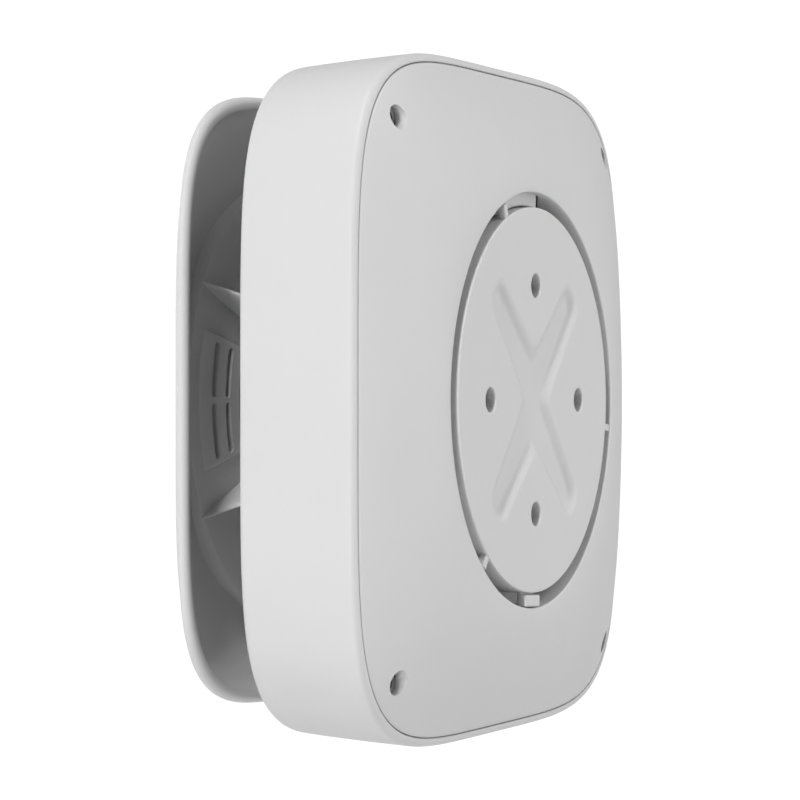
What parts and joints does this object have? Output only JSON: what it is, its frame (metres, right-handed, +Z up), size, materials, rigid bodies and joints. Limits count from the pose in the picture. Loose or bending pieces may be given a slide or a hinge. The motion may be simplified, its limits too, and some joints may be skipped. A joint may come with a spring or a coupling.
{
  "type": "alarm siren",
  "caption": "Square wall alarm siren with a domed back, a round twist-lock bracket and a floating front plate over a sounder.",
  "frame": {"origin": "centre of the wall bracket's flat wall face", "axes": "+Y goes into the wall, the sounding front faces -Y, +Z is up and +X is to the right seen from the front"},
  "size_m": [0.127, 0.057, 0.127],
  "materials": {
    "white_plastic": "fine matt moulded",
    "seal_rubber": "matt",
    "screw_steel": "zinc plated",
    "spring_steel": "nickel plated",
    "shield_metal": "tinned sheet",
    "dark_plastic": "matt moulded",
    "brass": "brass sheet",
    "board_laminate": "solder mask",
    "chip_black": "moulded epoxy",
    "connector_plastic": "nylon",
    "clear_plastic": "clear moulded",
    "button_plastic": "matt moulded",
    "cell_wrap": "shrink wrap",
    "red_wire": "vinyl",
    "black_wire": "vinyl"
  },
  "bodies": {
    "bracket": {"mounting_bracket": "white_plastic"},
    "housing": {"rear_cover": "white_plastic", "housing_seal": "seal_rubber", "cover_screws": "screw_steel", "housing_shell": "white_plastic", "front_plate": "white_plastic", "sound_deflector": "white_plastic", "deflector_screws": "screw_steel", "plate_screws": "screw_steel", "sounder_horn": "dark_plastic", "horn_grille": "dark_plastic", "horn_gasket": "seal_rubber", "sounder_case": "dark_plastic", "piezo_disc": "brass", "piezo_clamp": "dark_plastic", "sounder_screws": "screw_steel", "main_board": "board_laminate", "board_screws": "screw_steel", "radio_module": "shield_metal", "board_chips": "chip_black", "board_capacitors": "chip_black", "board_connectors": "connector_plastic", "strobe_leds": "connector_plastic", "light_guides": "clear_plastic", "radio_antenna": "brass", "tamper_spring": "spring_steel", "tamper_switch": "chip_black", "power_switch": "chip_black", "upper_battery_tray": "dark_plastic", "lower_battery_tray": "dark_plastic", "tray_screws": "screw_steel", "battery_cell_1": "cell_wrap", "battery_cell_2": "cell_wrap", "battery_cell_3": "cell_wrap", "battery_cell_4": "cell_wrap", "battery_contacts": "spring_steel", "battery_leads": "red_wire", "sounder_leads": "black_wire"},
    "tamper_plunger": {"tamper_plunger": "button_plastic"},
    "power_button": {"power_button": "button_plastic"}
  },
  "joints": [
    {"name": "bayonet_twist", "type": "hinge", "parent": "bracket", "child": "housing", "pos_m": [0, 0, 0], "axis": [0, -1, 0], "range_deg": [0, 28]},
    {"name": "tamper_press", "type": "slide", "parent": "housing", "child": "tamper_plunger", "axis": [0, -1, 0], "range_m": [0, 0.001], "stiffness_N_per_m": 400, "springref_m": -0.0005, "deforming": ["tamper_spring"]},
    {"name": "power_press", "type": "slide", "parent": "housing", "child": "power_button", "axis": [0, -1, 0], "range_m": [0, 0.0005], "stiffness_N_per_m": 800, "springref_m": -0.0003}
  ]
}
